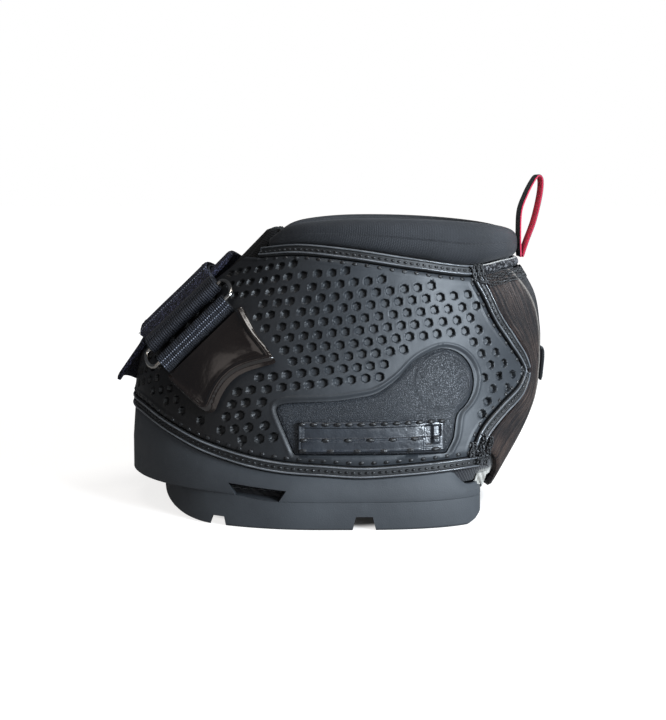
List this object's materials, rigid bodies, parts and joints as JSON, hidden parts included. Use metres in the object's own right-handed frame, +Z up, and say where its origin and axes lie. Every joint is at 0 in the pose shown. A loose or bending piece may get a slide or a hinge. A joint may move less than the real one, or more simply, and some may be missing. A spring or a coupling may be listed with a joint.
{
  "type": "horse hoof boot",
  "caption": "Low padded boot that straps round a horse's hoof, with a cup sole, dimpled moulded sides and a ring-and-strap front closure.",
  "frame": {"origin": "on the ground, on the flat tread under the middle of the sole", "axes": "+Z up, -X towards the toe, -Y towards the side that carries the ring and its plate"},
  "size_m": [0.193, 0.1394, 0.1441],
  "materials": {
    "sole_rubber": "matt moulded rubber",
    "panel_tpu": "satin moulded thermoplastic polyurethane",
    "piped_band": "satin piping with a stitched channel",
    "liner_foam": "foam faced with brushed cloth",
    "ribbed_knit": "fine ribbed stretch fabric",
    "heel_leather": "brown-black grained leather",
    "field_leather": "fine leather grain",
    "grey_binding": "silver-grey binding tape",
    "strap_webbing": "navy-black webbing and hook-and-loop",
    "anchor_plastic": "glossy moulded plastic",
    "ring_metal": "bronze-tinted plated wire",
    "loop_ribbon": "woven ribbon, crimson inside",
    "insole_board": "matt fibre board"
  },
  "bodies": {
    "root": {"outsole": "sole_rubber", "insole_board": "insole_board", "inner_liner": "liner_foam", "side_panel_near": "panel_tpu", "side_panel_far": "panel_tpu", "side_inlay_near": "field_leather", "side_inlay_far": "field_leather", "strap_box_near": "piped_band", "strap_box_far": "piped_band", "bottom_welt": "piped_band", "top_trim_near": "piped_band", "top_trim_far": "piped_band", "rear_trim_near": "piped_band", "rear_trim_far": "piped_band", "heel_binding": "grey_binding", "heel_counter": "heel_leather", "heel_strip": "strap_webbing", "padded_collar": "ribbed_knit", "under_flap": "strap_webbing", "closure_strap": "strap_webbing", "ring_tab": "strap_webbing", "anchor_plate": "anchor_plastic"},
    "strap_end": {"strap_end": "strap_webbing"},
    "ring": {"closure_ring": "ring_metal"},
    "loop": {"pull_loop": "loop_ribbon"},
    "tongue": {"tongue": "ribbed_knit"}
  },
  "joints": [
    {"name": "strap_peel", "type": "hinge", "parent": "root", "child": "strap_end", "pos_m": [-0.05352, -0.03088, 0.08494], "axis": [0.7193, 0, 0.6947], "range_deg": [0, 140]},
    {"name": "ring_slide", "type": "slide", "parent": "root", "child": "ring", "axis": [0.7193, 0, 0.6947], "range_m": [-0.0008, 0.0008]},
    {"name": "pull_loop_swing", "type": "hinge", "parent": "root", "child": "loop", "pos_m": [0.09689, 0, 0.1072], "axis": [0, 1, 0], "range_deg": [-2, 55]},
    {"name": "tongue_tilt", "type": "hinge", "parent": "root", "child": "tongue", "pos_m": [-0.06839, 0, 0.05027], "axis": [0, 1, 0], "range_deg": [0, 20]}
  ]
}
